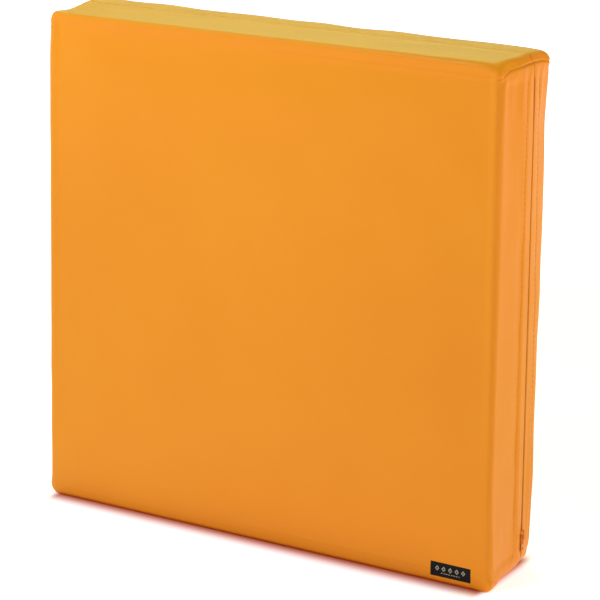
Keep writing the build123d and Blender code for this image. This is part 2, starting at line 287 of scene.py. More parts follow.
def shift(points):
    """How far the filled cover's corners and edges lie from their even places."""
    x, y, z = points.T
    u, v, w = x / (2 * HALF_X) + 0.5, y / (2 * HALF_Y) + 0.5, z / TOP
    moved = np.zeros_like(points)
    for (i, j, k), offset in CORNER_SHIFTS.items():
        share = (u if i else 1 - u) * (v if j else 1 - v) * (w if k else 1 - w)
        moved += share[:, None] * np.array(offset)
    tuck = bump(x, -HALF_X, TUCK_WIDTH) * bump(z, TOP, TUCK_WIDTH)
    moved[:, 0] += TUCK_IN * tuck * (1 - v)
    moved[:, 2] -= TUCK_DOWN * tuck * bump(y, -18, 16)
    moved[:, 2] += TUCK_UP * tuck * bump(y, 24, 12)
    back_side = smooth(x, HALF_X - 30, HALF_X) * smooth(y, 8, HALF_Y)
    moved[:, 0] += back_side * np.interp(z, EDGE_BOW_Z, EDGE_BOW_X)
    front_side = smooth(x, HALF_X - 70, HALF_X - 4) * smooth(-y, 4, HALF_Y - 3)
    moved[:, 0] -= front_side * np.interp(z, FRONT_SIDE_Z, FRONT_SIDE_X)
    toe = TOE_PULL * bump(x, HALF_X, 8) * bump(z, 0, 8) * smooth(-y, 8, HALF_Y - 4)
    moved += toe[:, None] * np.array((1.0, 0, -1.0))
    for spot, width, pull in CORNER_PULLS:
        share = bump(points, np.array(spot), np.array(width)).prod(1)
        moved += share[:, None] * np.array(pull)
    return moved


# Folds below the corner seams on the narrow sides: where in y, and how high
FOLDS = ((-33, 0.7), (-21, 0.5), (-7, 0.5), (4, 0.8), (14, 0.7), (25, 0.8))
swell = {"tree": None, "lift": None}


def swelling(points, face):
    """The lift that the inflated cloth takes at these points of the plain block."""
    if swell["tree"] is None:
        across, up = points[:, 0] / HALF_X, 2 * points[:, 2] / TOP - 1
        return CROWN * face * (1 - across**4) * (1 - up**4)
    lift = np.empty(len(points))
    for k, point in enumerate(points):
        found = swell["tree"].find_n(point, 4)
        weights = [1 / (0.5 + distance) for _, _, distance in found]
        total = sum(w * swell["lift"][i] for w, (_, i, _) in zip(weights, found))
        lift[k] = total / sum(weights)
    return lift


def face_relief(points, face):
    """The broad faces: their swelling, a hem inside their edges and gentle waves."""
    x, _, z = points.T
    inside = -outline_distance(x, z)
    hem = smooth(inside, 3, 13) * (1 - smooth(inside, 14, 60)) * smooth(z, 60, 240)
    hem_depth = HEM_DEPTH + HEM_EXTRA * smooth(z, TOP - 60, TOP - 20)
    waves = FACE_WAVE * ripple(x, z, 75, 11) * smooth(inside, 2, 30)
    return swelling(points, face) + face * (waves - hem_depth * hem)


def side_relief(points, normals, zip_part):
    """The narrow sides: a step over the seam allowance, crinkles beside the seam, broad waves."""
    x, y, z = points.T
    from_seam = np.abs(y - seam_y(x, z))
    run = np.where(np.abs(normals[:, 0]) > 0.7, z, x)
    step = ALLOWANCE_STEP * (1 - smooth(from_seam, ALLOWANCE - 2, ALLOWANCE + 1.5))
    crinkle = SEAM_CRINKLE * ripple(run, y, 17, 12) * (1 - smooth(from_seam, 3, 12))
    calm_front = 1 - 0.8 * smooth(-y, 18, 34)
    wave = SIDE_WAVE * ripple(run, y, 60, 13) * smooth(from_seam, 4, 20)
    return (1 - zip_part) * (step + crinkle) + calm_front * wave


def lip_relief(points):
    """The zip's lips: the front one stands proud of a hollow panel, the back one falls away."""
    x, y, z = points.T
    ahead = seam_y(x, z) - y
    foot = np.interp(z, LIP_Z, LIP_FOOT)
    climb = np.interp(z, LIP_Z, LIP_CLIMB)
    hollow = np.interp(z, LIP_Z, HOLLOW_START)
    lips = LIP_RISE * (smooth(-y, hollow, 38) - smooth(ahead, foot - climb, foot))
    lips += LIP_CREST * bump(ahead, 8, 4) - BACK_FALL * smooth(-ahead, 6, 26)
    return lips - ROW_DENT * bump(np.abs(ahead), row_distance(z), 1.3)


def corner_relief(points, normals, side):
    """The corner seams: a groove between ridges, puckers across it, folds below it."""
    x, y, z = points.T
    s = corner_distance(x, y, z)
    wobble = s + 0.5 * ripple(y, 0 * y, 34, 14)
    front_left = smooth(-x, 0, HALF_X - 20) * smooth(-y, 0, 25)
    belt = (1 - smooth(np.abs(normals[:, 1]), 0.8, 0.99)) * (1 - 0.65 * front_left)
    above = smooth(wobble, 0.6, 1.8) * (1 - smooth(wobble, 4, 9))
    seam = RIDGE * (above + bump(wobble, -2.2, 1.4))
    seam -= (GROOVE + GROOVE_WAVE * ripple(y, 0 * y, 23, 15)) * bump(wobble, 0, 0.8)
    seam += SHOULDER * bump(s, 8, 4.2) * smooth(z, TOP - 40, TOP - 12)
    pucker = bump(np.abs(s), 3.4, 3.0) * np.sin(2 * pi * y / 6.3 + 2.2 * np.sin(y / 7.1))
    seam += PUCKER * pucker * smooth(np.abs(s), 0.4, 1.6)

    below = smooth(-s, 1.5, 8) * (1 - smooth(-s, 26, 52)) * (np.abs(normals[:, 0]) > 0.5)
    folds = sum(height * bump(y, middle + 0.04 * s, 2.6) for middle, height in FOLDS)
    knuckle = KNUCKLE * bump(s, 2, 4.5) * bump(np.abs(y), HALF_Y - 2, 2.6)
    pinch = PINCH * bump(s, -4, 4) * bump(np.abs(y), HALF_Y - 3, 4)
    on_right = smooth(x, -20, 20) * (knuckle - pinch)
    return belt * seam + side * below * (folds - BELOW_FALL) + on_right


def relief(points, normals):
    """How far the cloth stands out from the plain block, along the normal."""
    x, y, z = points.T
    flat = np.abs(normals[:, 1])
    face = smooth(flat, 0.7, 0.99)
    side = 1 - smooth(flat, 0.75, 0.97)
    zip_part = zip_share(normals, z)
    lift = face_relief(points, face) + side * side_relief(points, normals, zip_part)
    lift += zip_part * side * lip_relief(points) + corner_relief(points, normals, side)
    near_slit = zip_part * (1 - smooth(np.abs(y - seam_y(x, z)), 5, 10))
    lift = lift * (1 - near_slit) + np.clip(lift, *SLIT_LIMITS) * near_slit
    standing = smooth(-normals[:, 2], 0.6, 0.98)
    return lift * (1 - standing)


def place(points, depth=0.0):
    """Points near the block, moved to the real surface or to a depth under it."""
    surface, normals = nearest(np.asarray(points, float))
    out = (relief(surface, normals) - depth)[:, None] * normals
    from_slit = np.abs(surface[:, 1] - seam_y(surface[:, 0], surface[:, 2]))
    calm = zip_share(normals, surface[:, 2]) * (1 - smooth(from_slit, 5, 12))
    moved = surface + out + (1 - calm)[:, None] * shift(surface)
    moved[:, 2] = np.maximum(moved[:, 2], depth)
    return moved


# ---- Grid topology ---------------------------------------
x_lines = grid_lines(-HALF_X, (24 - HALF_X, FINE), (HALF_X - 24, COARSE), (HALF_X, FINE))
lower_half = [(3, 1.2), (15, 0.7), (24, FINE)]
upper_half = [(TOP - 24, COARSE), (TOP - 15, FINE), (TOP - 3, 0.7), (TOP, 1.2)]
z_lines = grid_lines(0, *lower_half, *upper_half)


def ring_of(xs, zs):
    """Grid indices round the edge of a face, anticlockwise seen from the front."""
    nx, nz = len(xs), len(zs)
    ring = [(i, 0) for i in range(nx - 1)]
    ring += [(nx - 1, j) for j in range(nz - 1)]
    ring += [(i, nz - 1) for i in range(nx - 1, 0, -1)]
    ring += [(0, j) for j in range(nz - 1, 0, -1)]
    return ring


def face_grid(xs, zs, y):
    """Points of a face grid on the plane y, numbered up z first."""
    x, z = np.meshgrid(xs, zs, indexing="ij")
    return np.stack([x.ravel(), np.full(x.size, y), z.ravel()], 1)


def face_quads(nx, nz, flip):
    """Quads of a face grid."""
    i, j = np.meshgrid(np.arange(nx - 1), np.arange(nz - 1), indexing="ij")
    a = (i * nz + j).ravel()
    quads = np.stack([a, a + nz, a + nz + 1, a + 1], 1)
    return quads[:, ::-1] if flip else quads


def belt_quads(rows, flip):
    """Quads between successive closed rows of vertex numbers."""
    quads = []
    for upper, lower in zip(rows[:-1], rows[1:]):
        after_upper, after_lower = np.roll(upper, -1), np.roll(lower, -1)
        quads.append(np.stack([upper, lower, after_lower, after_upper], 1))
    quads = np.concatenate(quads)
    return quads[:, ::-1] if flip else quads


# ---- Inflated cloth --------------------------------------
def closed_block(xs, zs, side_rows):
    """Points and quads of a closed grid over the whole pad; side_rows give y round the ring."""
    ring = ring_of(xs, zs)
    ring_x = np.array([xs[i] for i, _ in ring])
    ring_z = np.array([zs[j] for _, j in ring])
    nx, nz = len(xs), len(zs)
    front, back = face_grid(xs, zs, -HALF_Y), face_grid(xs, zs, HALF_Y)
    ring_numbers = np.array([i * nz + j for i, j in ring])
    sides = [np.stack([ring_x, row(ring_x, ring_z), ring_z], 1) for row in side_rows]
    points = np.concatenate([front, back, *sides])
    first = 2 * len(front)
    rows = [ring_numbers]
    rows += [first + k * len(ring) + np.arange(len(ring)) for k in range(len(sides))]
    rows += [len(front) + ring_numbers]
    quads = [face_quads(nx, nz, False), len(front) + face_quads(nx, nz, True)]
    quads.append(belt_quads(rows, False))
    return points, np.concatenate(quads)


def level_row(y):
    """A row round the sides at one y."""
    return lambda x, z: np.full(len(x), float(y))


def seam_row(offset):
    """A row round the sides at an offset from the seam."""
    return lambda x, z: seam_y(x, z) + offset


START_INSET = 1.5
SWELL_FRAMES = 20
HELD_FACE = 0.15
HELD_SIDE = 0.6


def inflate():
    """Fills a coarse cover with air, held by the foam, and keeps its lift for swelling()."""
    span_x = grid_lines(-HALF_X, (HALF_X, BLANK))
    span_z = grid_lines(0, (TOP, BLANK))
    span_y = grid_lines(-HALF_Y, (HALF_Y, BLANK_SIDE))[1:-1]
    points, quads = closed_block(span_x, span_z, [level_row(y) for y in span_y])
    surface, normals = nearest(points)
    start = surface - START_INSET * normals
    blank = link_mesh("inflated", start, quads)
    flat = np.abs(normals).max(1) > 0.99
    held = blank.vertex_groups.new(name="held")
    for k, on_face in enumerate(flat):
        held.add([k], HELD_FACE if on_face else HELD_SIDE, "REPLACE")
    cloth = blank.modifiers.new("Cloth", "CLOTH")
    cloth.settings.vertex_group_mass = "held"
    cloth.settings.pin_stiffness = 1
    cloth.settings.use_pressure = True
    cloth.settings.uniform_pressure_force = 4
    cloth.settings.effector_weights.gravity = 0
    cloth.settings.quality = 6
    cloth.settings.mass = 0.3
    cloth.settings.tension_stiffness = 15
    cloth.settings.compression_stiffness = 15
    cloth.settings.shear_stiffness = 5
    cloth.settings.bending_stiffness = 0.5
    cloth.point_cache.frame_start = 1
    cloth.point_cache.frame_end = SWELL_FRAMES
    for number in range(1, SWELL_FRAMES + 1):
        bpy.context.scene.frame_set(number)
    shown = blank.evaluated_get(bpy.context.evaluated_depsgraph_get())
    swollen = np.empty(len(start) * 3)
    shown.data.vertices.foreach_get("co", swollen)
    bpy.context.scene.frame_set(1)
    bpy.data.objects.remove(blank)
    rise = ((swollen.reshape(-1, 3) / MM - start) * normals).sum(1)
    tree = KDTree(len(surface))
    for k, point in enumerate(surface):
        tree.insert(point, k)
    tree.balance()
    swell["lift"] = np.clip(rise * CROWN / np.percentile(rise, 99), -0.3, 1.2 * CROWN)
    swell["tree"] = tree


inflate()


# ---- Covers ----------------------------------------------
FOLD_ANGLES = (0, 25, 50, 70, 90)
SLIT_ANGLES = (0, 30, 60, 90, 120, 150, 180)
ROUND_ROWS = (0.8, 1.6, 2.5, 3.5, 4.6, 6.0, 8.0)
CLOSE_ROWS = (20, 18.5, 17, 16, 15, 14, 13, 12, 11, 10, 9, 8, 6.5, 5, 4, 3, 2.2, 1.7)
WIDEST_ROW = {-1: 20, 1: 18.5}
NEAR_ROOM = 1.5
ROW_SPACING = 3


def seam_rows():
    """Turned-in rows as (distance from seam, depth): outer, inner, at a seam and at the slit."""
    turn = [radians(a) for a in FOLD_ANGLES]
    seam_out = [(SEAM_GAP + SEAM_FOLD * (1 - sin(a)), SEAM_FOLD * (1 - cos(a))) for a in turn]
    seam_out += [(SEAM_GAP, depth) for depth in SEAM_DEPTHS]
    small = SEAM_FOLD - CLOTH
    middle = SEAM_GAP + SEAM_FOLD
    seam_in = [(middle - small * sin(a), SEAM_FOLD - small * cos(a)) for a in turn]
    seam_in += [(SEAM_GAP + CLOTH, depth) for depth in SEAM_DEPTHS]
    radius = SLIT_FOLD - SLIT_HALF
    turn = [radians(a) for a in SLIT_ANGLES]
    slit_out = [(SLIT_FOLD - radius * sin(a), CLOTH - radius * cos(a)) for a in turn]
    slit_out += [(LIP_END, 2 * CLOTH)]
    slit_in = [(SLIT_FOLD - SLIT_LINING * sin(a), CLOTH - SLIT_LINING * cos(a)) for a in turn]
    slit_in += [(LIP_END, CLOTH + SLIT_LINING)]
    return seam_out, seam_in, slit_out, slit_in


def tray(name, side):
    """One half of the cover: a broad face, four narrow flaps and a turned-in edge.

    side is -1 at the front and 1 at the back.
    """
    nx, nz = len(x_lines), len(z_lines)
    ring = ring_of(x_lines, z_lines)
    ring_x = np.array([x_lines[i] for i, _ in ring])
    ring_z = np.array([z_lines[j] for _, j in ring])
    count = len(ring)
    grid = face_grid(x_lines, z_lines, side * HALF_Y)
    seam = seam_y(ring_x, ring_z)
    plain_rows = [side * (HALF_Y - step) for step in ROUND_ROWS]
    starts = [np.stack([ring_x, np.full(count, y), ring_z], 1) for y in plain_rows]
    last = plain_rows[-1]
    reach = np.abs(last - seam)
    wide = WIDEST_ROW[side]
    near = [step * np.minimum(1, (reach - NEAR_ROOM) / wide) for step in CLOSE_ROWS if step <= wide]
    gap = np.abs(last - (seam + side * near[0]))
    between = max(0, round(float(gap.max()) / ROW_SPACING) - 1)
    for k in range(between):
        share = (k + 1) / (between + 1)
        y = last + share * (seam + side * near[0] - last)
        starts.append(np.stack([ring_x, y, ring_z], 1))
    for step in near:
        starts.append(np.stack([ring_x, seam + side * step, ring_z], 1))

    outer = [place(grid)] + [place(points) for points in starts]
    inner = [place(grid, CLOTH)] + [place(points, CLOTH) for points in starts]
    normals = nearest(np.stack([ring_x, seam, ring_z], 1))[1]
    slit = zip_share(normals, ring_z)
    for s_out, s_in, z_out, z_in in zip(*seam_rows()):
        for rows, at_seam, at_slit in ((outer, s_out, z_out), (inner, s_in, z_in)):
            b = (1 - slit) * at_seam[0] + slit * at_slit[0]
            depth = (1 - slit) * at_seam[1] + slit * at_slit[1]
            rows.append(place(np.stack([ring_x, seam + side * b, ring_z], 1), depth))

    ring_numbers = np.array([i * nz + j for i, j in ring])
    row_numbers = [ring_numbers]
    row_numbers += [len(grid) + k * count + np.arange(count) for k in range(len(outer) - 1)]
    front = side < 0
    skin = np.concatenate([face_quads(nx, nz, not front), belt_quads(row_numbers, not front)])
    total = len(grid) + (len(outer) - 1) * count
    lining = skin[:, ::-1] + total
    rim = belt_quads([row_numbers[-1], row_numbers[-1] + total], not front)
    points = np.concatenate(outer + inner)
    piece = link_mesh(name, points, np.concatenate([skin, lining, rim]))
    add_marks(piece, np.concatenate([grid] + starts))
    return piece


def add_marks(piece, starts):
    """Vertex values for the material: wear along the rounded edges, and how near a seam or stitch
    row is, which the cloth uses for painted shade in those grooves.
    """
    surface, normals = nearest(starts)
    x, y, z = surface.T
    flat = np.abs(normals).max(1)
    worn = smooth(1 - flat, 0.04, 0.25)
    # The seam value marks where the cloth gets painted shade: along the seams, the corner seams and
    # the zip's stitch rows
    seam = 1 - smooth(np.abs(y - seam_y(x, z)), 0.6, 2.4)
    belt = 1 - smooth(np.abs(normals[:, 1]), 0.8, 0.99)
    seam = np.maximum(seam, belt * bump(corner_distance(x, y, z), 0, 1.4))
    row = zip_share(normals, z) * bump(np.abs(y - seam_y(x, z)), row_distance(z), 1.2)
    seam = np.maximum(seam, 0.7 * row)
    for key, values in (("worn", worn), ("seam", seam)):
        layer = piece.data.attributes.new(key, "FLOAT", "POINT")
        full = np.zeros(len(piece.data.vertices), np.float32)
        full[: len(values)] = values
        layer.data.foreach_set("value", full)


front_cloth = tray("front_cloth", -1)
back_cloth = tray("back_cloth", 1)
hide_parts("front_cover")
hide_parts("back_cover")
for cloth in (front_cloth, back_cloth):
    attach(cloth, "pad")


# ---- Foam block, under the cover -------------------------
FOAM_DEPTH = 1.3
ALLOWANCE_ROOM = 1.4
BAY_DEPTH = 6.6
FOAM_FINE = 2.5
FOAM_COARSE = 9
FOAM_FRONT_ROWS = (-38.5, -36.5, -33, -25, -15)
FOAM_BACK_ROW = 37
BAY_ROWS = (-15, -14.2, -13, -9.9, -8.7, -4, 0, 4, 8.7, 9.9, 13, 14.2, 15)


def foam_depth(points):
    """How deep the foam lies: lower under the seam allowance, and lower still along the zip."""
    surface, normals = nearest(points)
    x, y, z = surface.T
    from_seam = np.abs(y - seam_y(x, z))
    belt = 1 - smooth(np.abs(normals[:, 1]), 0.7, 0.95)
    bay = zip_share(normals, z) * (1 - smooth(from_seam, 13.4, 14.4))
    allowance = belt * (1 - smooth(from_seam, 8.8, 9.8))
    return FOAM_DEPTH + ALLOWANCE_ROOM * allowance + BAY_DEPTH * bay


fine, coarse = FOAM_FINE, FOAM_COARSE
foam_x = grid_lines(-HALF_X, (16 - HALF_X, fine), (HALF_X - 16, coarse), (HALF_X, fine))
foam_z = grid_lines(0, (16, fine), (TOP - 16, coarse), (TOP, fine))
foam_rows = [level_row(y) for y in FOAM_FRONT_ROWS] + [seam_row(b) for b in BAY_ROWS]
foam_rows.append(level_row(FOAM_BACK_ROW))
foam_points, foam_quads = closed_block(foam_x, foam_z, foam_rows)
foam = link_mesh("foam_block", place(foam_points, foam_depth(foam_points)), foam_quads)
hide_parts("foam_core")
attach(foam, "pad")


# ---- Zip: woven tapes and interlocking coils -------------
zip_base = np.array([HALF_X, SEAM_Y_LOW, 0])
zip_along = np.array([0, SEAM_Y_TOP - SEAM_Y_LOW, TOP])
zip_along = zip_along / np.linalg.norm(zip_along)
zip_front = np.array([0, -zip_along[2], zip_along[1]])


def zip_points(along, across, height):
    """Points by distance up the zip, across it toward the front, and out from the side."""
    along, across, height = np.broadcast_arrays(along, across, height)
    out = height[..., None] * np.array([1.0, 0, 0])
    return zip_base + along[..., None] * zip_along + across[..., None] * zip_front + out


def loft(name, sections):
    """A closed piece through equal closed sections, capped at both ends."""
    count = len(sections[0])
    rows = [k * count + np.arange(count) for k in range(len(sections))]
    faces = belt_quads(rows, False).tolist()
    faces += [rows[0].tolist(), rows[-1][::-1].tolist()]
    piece = link_mesh(name, np.concatenate(sections), faces)
    square_up(piece)
    return piece


def square_up(piece):
    """Turns every closed part's faces outward."""
    work = bmesh.new()
    work.from_mesh(piece.data)
    bmesh.ops.recalc_face_normals(work, faces=work.faces)
    work.to_mesh(piece.data)
    work.free()


# The tape's section, as (distance from the slit, height); it steps down to the coil
TAPE_OUTLINE = (
    (12.9, -1.95), (10.0, -1.9), (7.5, -1.95), (6.9, -2.6), (6.2, -3.75),
    (5.6, -3.95), (4.4, -4.0), (3.3, -4.0), (3.3, -4.35), (4.6, -4.38),
    (6.1, -4.38), (6.9, -3.6), (7.6, -2.45), (10, -2.4), (12.9, -2.4),
)
TAPE_PITCH = 3.0
COIL_PITCH = 1.5
COIL_STEPS = 10
COIL_SIDES = 5
COIL_WIRE = 0.31
COIL_PLACE = 1.85
COIL_REACH = 0.98
COIL_HEIGHT = -4.1
COIL_RISE = 0.72


def zip_tape(name, side):
    """One woven tape, sewn flat under the lip and stepped down to its coil."""
    sections = []
    for along in np.arange(ZIP_START + 0.2, ZIP_END, TAPE_PITCH):
        wave = 0.06 * sin(along / 4.1) + 0.05 * sin(along / 2.3 + side)
        outline = [(side * b, h + wave) for b, h in TAPE_OUTLINE]
        sections.append(np.array([zip_points(along, b, h) for b, h in outline]))
    return loft(name, sections)


def zip_coil(name, side):
    """One spiral of the zip, sewn along its tape's edge."""
    first, last = coil_low[2] + 0.6, coil_high[2] - 0.6
    turns = (last - first) / COIL_PITCH
    t = np.arange(0, turns, 1 / COIL_STEPS)
    half_turn = 0.5 if side > 0 else 0.0
    angle = 2 * pi * (t + half_turn)
    across = side * (COIL_PLACE - COIL_REACH * np.cos(angle))
    height = COIL_HEIGHT + COIL_RISE * np.sin(angle)
    line = zip_points(first + t * COIL_PITCH, across, height)
    tangent = np.gradient(line, axis=0)
    tangent /= np.linalg.norm(tangent, axis=1)[:, None]
    spread = np.cross(tangent, zip_along)
    spread /= np.linalg.norm(spread, axis=1)[:, None]
    other = np.cross(tangent, spread)
    turn = [2 * pi * k / COIL_SIDES for k in range(COIL_SIDES)]
    rings = [line + COIL_WIRE * (cos(a) * spread + sin(a) * other) for a in turn]
    return loft(name, list(np.stack(rings, 1)))


zip_pieces = []
for side, half in ((1, "front"), (-1, "back")):
    woven = zip_tape(f"tape_{half}", side)
    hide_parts(f"zip_tape_{half}")
    coil = zip_coil(f"coil_{half}", side)
    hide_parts(f"zip_coil_{half}")
    zip_pieces += [woven, coil]
for piece in zip_pieces:
    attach(piece, "pad")


# ---- Sewing ----------------------------------------------
# A thread's stations, as (share of its length, share of its radius, share of its rise)
THREAD_STATIONS = (
    (0.0, 0.25, 0.0),
    (0.06, 0.8, 0.5),
    (0.25, 1, 0.9),
    (0.5, 1.08, 1),
    (0.75, 1, 0.9),
    (0.94, 0.8, 0.5),
    (1.0, 0.25, 0.0),
)
THREAD_SIDES = 6
ROW_PITCH = 5.0
ROW_STITCH = 3.5
ROW_THREAD = 0.3
ROW_DEPTH = 0.1
LADDER_PITCH = 4.2
LADDER_HALF = 0.8
LADDER_THREAD = 0.22
LADDER_DEPTH = 0.6
CORNER_PITCH = 4.0
CORNER_HALF = 0.75
CORNER_DEPTH = 0.3
CORNER_OUT = 14


def stitches(name, starts, ends, ups, radius, depth, rise=0.0):
    """Short rounded threads at a depth under the cloth's surface, bowed outward by rise."""
    starts, ends = place(starts, depth), place(ends, depth)
    ups = np.asarray(ups, float)
    along = ends - starts
    across = np.cross(along, ups)
    across /= np.linalg.norm(across, axis=1)[:, None]
    points = []
    for t, thick, lift in THREAD_STATIONS:
        middle = starts + t * along + lift * rise * ups
        for k in range(THREAD_SIDES):
            angle = 2 * pi * k / THREAD_SIDES
            points.append(middle + radius * thick * (cos(angle) * across + sin(angle) * ups))
    count, per = len(starts), THREAD_SIDES * len(THREAD_STATIONS)
    points = np.stack(points, 1).reshape(-1, 3)
    rows = [np.arange(THREAD_SIDES) + k * THREAD_SIDES for k in range(len(THREAD_STATIONS))]
    one = belt_quads(rows, False)
    many = (one[None] + (np.arange(count) * per)[:, None, None]).reshape(-1, 4).tolist()
    for k in range(count):
        many += [(rows[0] + k * per).tolist(), (rows[-1][::-1] + k * per).tolist()]
    piece = link_mesh(name, points, many)
    square_up(piece)
    return piece


def zip_row(name, side, node):
    """The row of topstitching that holds one lip to its tape."""
    z = np.arange(ZIP_START + 3.4, ZIP_END - 3, ROW_PITCH)
    jitter = 0.12 * np.sin(z * 1.7) + 0.1 * np.sin(z * 0.61)
    x = np.full(len(z), HALF_X)
    low, high = z - ROW_STITCH / 2, z + ROW_STITCH / 2
    from_slit = side * (row_distance(z) + jitter)
    starts = np.stack([x, seam_y(x, low) - from_slit, low], 1)
    ends = np.stack([x, seam_y(x, high) - from_slit, high], 1)
    ups = np.tile([1.0, 0, 0], (len(z), 1))
    piece = stitches(name, starts, ends, ups, ROW_THREAD, ROW_DEPTH, 0.15)
    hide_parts(node)
    return piece


def seam_ladder():
    """Stitches across the groove of the seam between the covers, clear of the zip."""
    starts, ends, ups = [], [], []
    straight = HALF_X - CORNER
    runs = []
    for x in np.arange(-straight, straight + 1, LADDER_PITCH):
        runs += [((x, 0.0), (0, -1)), ((x, TOP), (0, 1))]
    for z in np.arange(CORNER, TOP - CORNER + 1, LADDER_PITCH):
        runs += [((-HALF_X, z), (-1, 0))]
    for sx in (-1, 1):
        for up, middle_z in ((-1, CORNER), (1, TOP - CORNER)):
            for angle in (radians(20), radians(45), radians(70)):
                out = (sx * cos(angle), up * sin(angle))
                spot = (sx * (HALF_X - CORNER) + CORNER * out[0], middle_z + CORNER * out[1])
                runs += [(spot, out)]
    for (x, z), out in runs:
        y = float(seam_y(np.array([x]), np.array([z]))[0])
        starts.append((x, y - LADDER_HALF, z))
        ends.append((x, y + LADDER_HALF, z))
        ups.append((out[0], 0, out[1]))
    lowered = stitches("seam_thread", starts, ends, ups, LADDER_THREAD, LADDER_DEPTH)
    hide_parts("cover_seam_stitching")
    return lowered


def corner_ladder(name, side, node):
    """Stitches across the four corner seams of one half of the cover."""
    starts, ends, ups = [], [], []
    for sx in (-1, 1):
        for up, middle_z in ((-1, CORNER), (1, TOP - CORNER)):
            ends_at = SEAM_Y_LOW if up < 0 else SEAM_Y_TOP
            near, far = ends_at + side * 3.0, side * (HALF_Y - 4)
            for y in np.arange(min(near, far), max(near, far), CORNER_PITCH):
                for offset, spots in ((-CORNER_HALF, starts), (CORNER_HALF, ends)):
                    angle = CORNER_SEAM + (offset - corner_dip(y)) / CORNER
                    x = sx * (HALF_X - CORNER + CORNER_OUT * cos(angle))
                    spots.append((x, y, middle_z + up * CORNER_OUT * sin(angle)))
                ups.append((sx * cos(CORNER_SEAM), 0, up * sin(CORNER_SEAM)))
    piece = stitches(name, starts, ends, ups, LADDER_THREAD, CORNER_DEPTH)
    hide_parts(node)
    return piece


threads = [
    zip_row("topstitch_front", 1, "zip_front_stitching"),
    zip_row("topstitch_back", -1, "zip_back_stitching"),
    seam_ladder(),
    corner_ladder("corner_thread_front", -1, "front_corner_stitching"),
    corner_ladder("corner_thread_back", 1, "back_corner_stitching"),
]
for piece in threads:
    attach(piece, "pad")


# ---- Label -----------------------------------------------
LABEL_GRID = 0.36
LABEL_EDGE = 0.7
LABEL_THICKNESS = 0.36
LOZENGE_PITCH = 6.2
LOZENGE_HALF = (1.9, 2.4)
LOZENGE_UP = 1.1
DASH_DOWN = 3.0
DASH_PITCH = 2.4
DASH_LENGTH = 1.5
LABEL_MARGIN = 1.1
LABEL_PITCH = 2.9
LABEL_HALF_STITCH = 0.95
LABEL_THREAD = 0.17


def label_motif(x, z):
    """1 on the label's row of lozenges and its dashes, 0 on its ground."""
    across, up = x - (label_low[0] + label_high[0]) / 2, z - (label_low[2] + label_high[2]) / 2
    half_x, half_z = (label_high[0] - label_low[0]) / 2, (label_high[2] - label_low[2]) / 2
    cell = (across + LOZENGE_PITCH / 2) % LOZENGE_PITCH - LOZENGE_PITCH / 2
    lozenge = np.abs(cell) / LOZENGE_HALF[0] + np.abs(up - LOZENGE_UP) / LOZENGE_HALF[1]
    hollow = (lozenge < 1) & (lozenge > 0.5) & (np.abs(across) < 2.5 * LOZENGE_PITCH)
    in_dash = (across + 40) % DASH_PITCH < DASH_LENGTH
    dash = (np.abs(up + DASH_DOWN) < 0.35) & (np.abs(across) < 9) & in_dash
    inner = np.minimum(half_x - np.abs(across), half_z - np.abs(up))
    return (hollow | dash) * (inner > 1.6) * 1.0


def sewn_label():
    """A small woven label with soft folded edges, lying on the face."""
    xs = grid_lines(label_low[0], (label_high[0], LABEL_GRID))
    zs = grid_lines(label_low[2], (label_high[2], LABEL_GRID))
    grid = face_grid(xs, zs, -HALF_Y)
    x, z = grid[:, 0], grid[:, 2]
    rim = np.minimum.reduce([x - xs[0], xs[-1] - x, z - zs[0], zs[-1] - z])
    motif = label_motif(x, z)
    height = 0.12 + LABEL_THICKNESS * smooth(rim, -0.3, LABEL_EDGE) + 0.07 * motif
    height -= 0.12 * bump(rim, 1.1, 0.35)
    top, bottom = place(grid, -height), place(grid, 0.1)
    nx, nz = len(xs), len(zs)
    ring = np.array([i * nz + j for i, j in ring_of(xs, zs)])
    quads = [face_quads(nx, nz, False), face_quads(nx, nz, True) + len(grid)]
    quads.append(belt_quads([ring, ring + len(grid)], False))
    piece = link_mesh("woven_label", np.concatenate([top, bottom]), np.concatenate(quads))
    layer = piece.data.attributes.new("motif", "FLOAT", "POINT")
    layer.data.foreach_set("value", np.concatenate([motif, 0 * motif]).astype(np.float32))
    square_up(piece)
    return piece


def label_stitches():
    """Stitches round the label, just inside its edge."""
    starts, ends = [], []
    left, right = label_low[0] + LABEL_MARGIN, label_high[0] - LABEL_MARGIN
    low, high = label_low[2] + LABEL_MARGIN, label_high[2] - LABEL_MARGIN
    for x in np.arange(left + 1.2, right - 0.8, LABEL_PITCH):
        for z in (low, high):
            starts.append((x - LABEL_HALF_STITCH, -HALF_Y, z))
            ends.append((x + LABEL_HALF_STITCH, -HALF_Y, z))
    for z in np.arange(low + 1.4, high - 0.8, LABEL_PITCH):
        for x in (left, right):
            starts.append((x, -HALF_Y, z - LABEL_HALF_STITCH))
            ends.append((x, -HALF_Y, z + LABEL_HALF_STITCH))
    ups = np.tile([0.0, -1, 0], (len(starts), 1))
    return stitches("label_thread", starts, ends, ups, LABEL_THREAD, -LABEL_THICKNESS, 0.08)


woven_label = sewn_label()
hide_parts("label")
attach(woven_label, "pad")
label_thread = label_stitches()
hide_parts("label_stitching")
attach(label_thread, "pad")


# ---- Materials -------------------------------------------
NOISE_ROUGHNESS = 0.55


